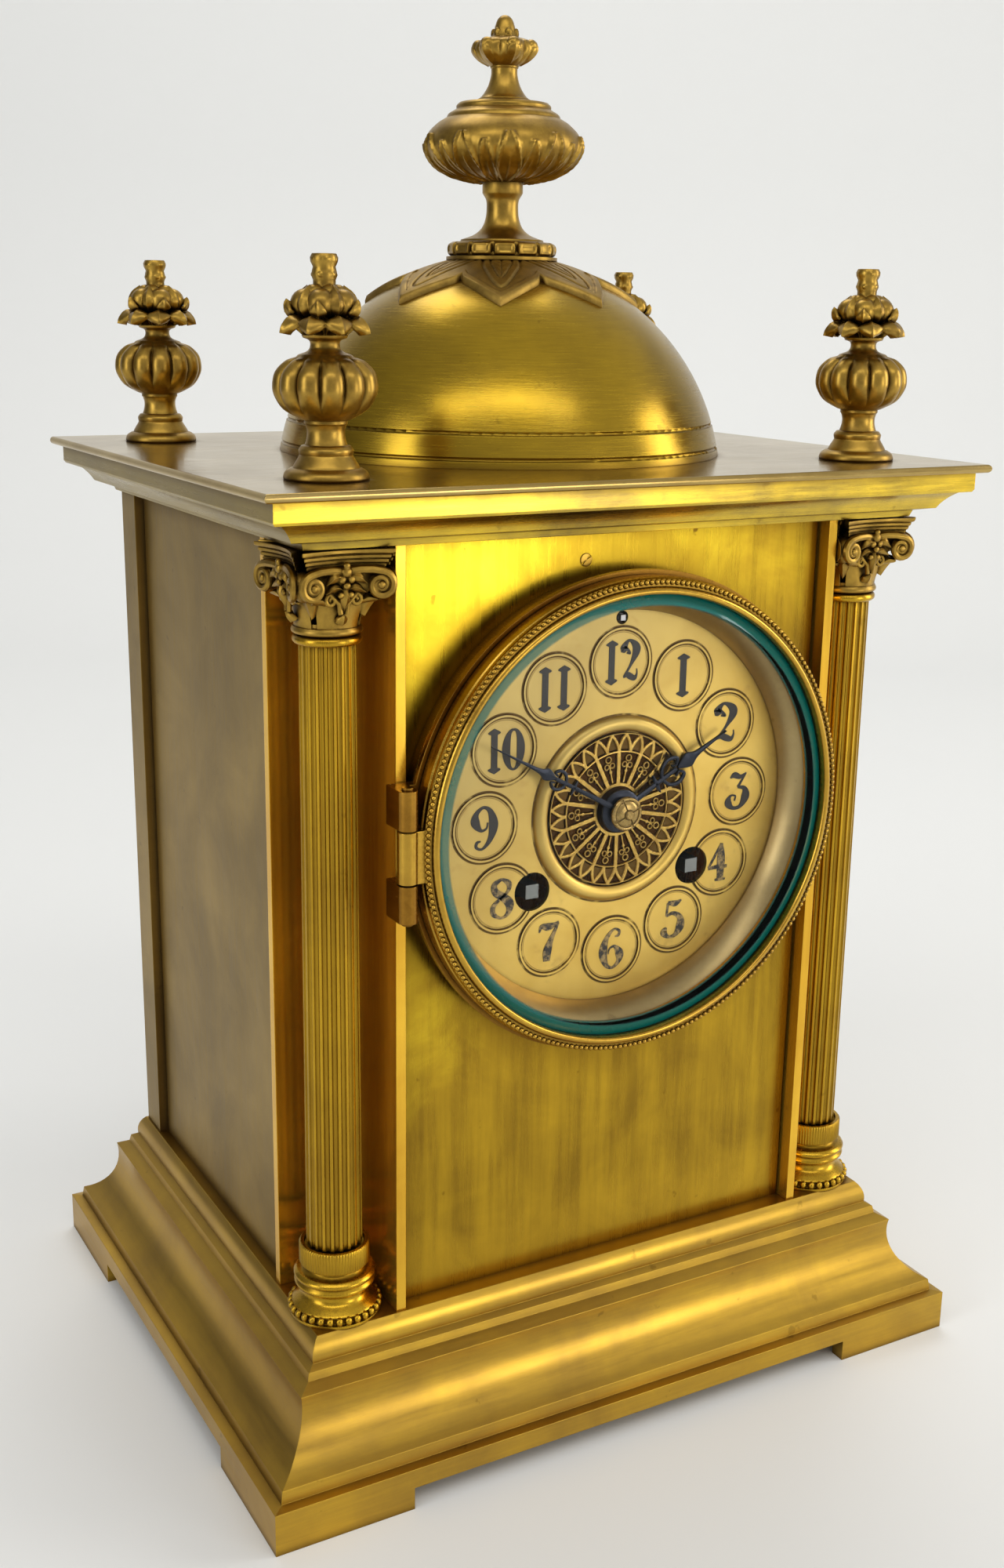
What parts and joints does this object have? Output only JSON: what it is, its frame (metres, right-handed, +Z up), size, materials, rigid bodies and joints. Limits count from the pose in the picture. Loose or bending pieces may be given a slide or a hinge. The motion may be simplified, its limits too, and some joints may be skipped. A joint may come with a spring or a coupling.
{
  "type": "bracket clock",
  "caption": "Brass bracket clock with a dome, corner finials, fluted columns, a glazed hinged bezel, a glazed rear door and a spring-driven striking movement.",
  "frame": {"origin": "centre of the base's footprint, on the surface the clock stands on", "axes": "+Z up, dial and columns towards -Y, +X to the right seen from the front"},
  "size_m": [0.244, 0.203, 0.4192],
  "materials": {
    "case_brass": "satin lacquered brass sheet with patina",
    "cast_brass": "antiqued cast brass, rubbed bright on the edges",
    "dome_brass": "spun brass, satin",
    "dial_brass": "matt gilt dial",
    "rosette_brass": "pierced rosette, dark in the piercings",
    "bezel_brass": "polished brass",
    "plate_brass": "polished movement brass",
    "wheel_brass": "polished wheel brass",
    "steel": "polished clock steel",
    "blued_steel": "blued steel hands",
    "bell_metal": "turned bell metal",
    "glass": "clear polished glass"
  },
  "bodies": {
    "case": {"base_moulding": "case_brass", "base_board": "case_brass", "front_panel": "case_brass", "side_panel_left": "case_brass", "side_panel_right": "case_brass", "niche_angles": "case_brass", "rear_posts": "case_brass", "cornice_moulding": "case_brass", "top_plate": "case_brass", "dome": "dome_brass", "leaf_collar": "cast_brass", "urn_foot": "cast_brass", "urn_bowl": "cast_brass", "urn_bud": "cast_brass", "corner_finials": "cast_brass", "column_bases": "cast_brass", "column_shafts": "dome_brass", "column_capitals": "cast_brass", "case_ring": "bezel_brass", "sight_ring": "dial_brass", "dial_plate": "dial_brass", "dial_centre": "rosette_brass", "hinge_pin": "bezel_brass", "front_plate": "plate_brass", "back_plate": "plate_brass", "plate_pillars": "plate_brass", "movement_posts": "plate_brass", "back_cock": "plate_brass", "bell": "bell_metal", "bell_stand": "steel", "winding_clicks": "steel"},
    "bezel_door": {"bezel": "bezel_brass", "bezel_glass": "glass"},
    "rear_door": {"rear_door_frame": "case_brass", "rear_door_glass": "glass", "rear_door_knob": "cast_brass"},
    "minute": {"centre_wheel": "wheel_brass", "cannon_pinion": "steel", "minute_hand": "blued_steel", "hand_nut": "steel"},
    "hour": {"hour_wheel": "wheel_brass", "hour_hand": "blued_steel"},
    "minute_work": {"minute_wheel": "wheel_brass"},
    "going_second": {"going_second_wheel": "wheel_brass"},
    "going_spring_barrel": {"going_barrel": "wheel_brass"},
    "third": {"third_wheel": "wheel_brass"},
    "escape": {"escape_wheel": "wheel_brass"},
    "pallets": {"anchor": "steel"},
    "pendulum": {"pendulum_rod": "steel", "pendulum_bob": "wheel_brass"},
    "going_winder": {"going_winding_arbor": "steel"},
    "strike_winder": {"strike_winding_arbor": "steel"},
    "strike_spring_barrel": {"strike_barrel": "wheel_brass"},
    "count": {"count_arbor_wheel": "wheel_brass", "count_wheel": "wheel_brass"},
    "pins": {"pin_wheel": "wheel_brass"},
    "locking": {"locking_wheel": "wheel_brass"},
    "fan": {"fly": "steel"},
    "striker": {"hammer": "steel"},
    "regulator": {"regulator_arbor": "steel"}
  },
  "joints": [
    {"name": "bezel_hinge", "type": "hinge", "parent": "case", "child": "bezel_door", "pos_m": [-0.0739, -0.086, 0.194], "axis": [0, 0, -1], "range_deg": [0, 105]},
    {"name": "rear_door_hinge", "type": "hinge", "parent": "case", "child": "rear_door", "pos_m": [-0.08165, 0.07625, 0.163], "axis": [0, 0, 1], "range_deg": [0, 100]},
    {"name": "minute_turn", "type": "hinge", "parent": "case", "child": "minute", "pos_m": [0, 0, 0.194], "axis": [0, 1, 0], "continuous": true},
    {"name": "hour_turn", "type": "hinge", "parent": "case", "child": "hour", "pos_m": [0, 0, 0.194], "axis": [0, 1, 0], "continuous": true},
    {"name": "minute_work_turn", "type": "hinge", "parent": "case", "child": "minute_work", "pos_m": [0.006, 0, 0.18361], "axis": [0, 1, 0], "continuous": true},
    {"name": "going_second_turn", "type": "hinge", "parent": "case", "child": "going_second", "pos_m": [0.02093, 0, 0.19972], "axis": [0, 1, 0], "continuous": true},
    {"name": "going_barrel_turn", "type": "hinge", "parent": "case", "child": "going_spring_barrel", "pos_m": [0.028, 0, 0.1725], "axis": [0, 1, 0], "continuous": true},
    {"name": "third_turn", "type": "hinge", "parent": "case", "child": "third", "pos_m": [-0.01208, 0, 0.21125], "axis": [0, 1, 0], "continuous": true},
    {"name": "escape_turn", "type": "hinge", "parent": "case", "child": "escape", "pos_m": [0, 0, 0.2275], "axis": [0, 1, 0], "continuous": true},
    {"name": "pendulum_swing", "type": "hinge", "parent": "case", "child": "pendulum", "pos_m": [0, 0, 0.2415], "axis": [0, 1, 0], "range_deg": [-4, 4]},
    {"name": "pallet_rock", "type": "hinge", "parent": "case", "child": "pallets", "pos_m": [0, 0, 0.2415], "axis": [0, 1, 0], "range_deg": [-4, 4]},
    {"name": "going_winding", "type": "hinge", "parent": "case", "child": "going_winder", "pos_m": [0.028, 0, 0.1725], "axis": [0, 1, 0], "continuous": true},
    {"name": "strike_winding", "type": "hinge", "parent": "case", "child": "strike_winder", "pos_m": [-0.028, 0, 0.1725], "axis": [0, 1, 0], "continuous": true},
    {"name": "pin_wheel_turn", "type": "hinge", "parent": "case", "child": "pins", "pos_m": [-0.03288, 0, 0.21859], "axis": [0, 1, 0], "continuous": true},
    {"name": "strike_barrel_turn", "type": "hinge", "parent": "case", "child": "strike_spring_barrel", "pos_m": [-0.028, 0, 0.1725], "axis": [0, 1, 0], "continuous": true},
    {"name": "count_turn", "type": "hinge", "parent": "case", "child": "count", "pos_m": [-0.03288, 0, 0.20019], "axis": [0, 1, 0], "continuous": true},
    {"name": "locking_turn", "type": "hinge", "parent": "case", "child": "locking", "pos_m": [-0.02605, 0, 0.23325], "axis": [0, 1, 0], "continuous": true},
    {"name": "fly_turn", "type": "hinge", "parent": "case", "child": "fan", "pos_m": [-0.03883, 0, 0.23667], "axis": [0, 1, 0], "continuous": true},
    {"name": "hammer_lift", "type": "hinge", "parent": "case", "child": "striker", "pos_m": [-0.04948, 0, 0.22399], "axis": [0, 1, 0], "range_deg": [0, 14], "stiffness_Nm_per_rad": 0.01, "springref_deg": -20.05},
    {"name": "regulator_turn", "type": "hinge", "parent": "case", "child": "regulator", "pos_m": [0, 0, 0.251], "axis": [0, 1, 0], "range_deg": [-360, 360]}
  ],
  "couplings": [
    {"joint": "hour_turn", "follows": "minute_turn", "ratio": 0.083333},
    {"joint": "minute_work_turn", "follows": "minute_turn", "ratio": -0.33333},
    {"joint": "going_second_turn", "follows": "minute_turn", "ratio": -0.16667},
    {"joint": "going_barrel_turn", "follows": "minute_turn", "ratio": 0.020202},
    {"joint": "third_turn", "follows": "minute_turn", "ratio": -12},
    {"joint": "escape_turn", "follows": "minute_turn", "ratio": 150},
    {"joint": "pallet_rock", "follows": "pendulum_swing", "ratio": 1},
    {"joint": "count_turn", "follows": "pin_wheel_turn", "ratio": -0.11111},
    {"joint": "strike_barrel_turn", "follows": "pin_wheel_turn", "ratio": 0.013468},
    {"joint": "locking_turn", "follows": "pin_wheel_turn", "ratio": -10},
    {"joint": "fly_turn", "follows": "pin_wheel_turn", "ratio": 80}
  ]
}
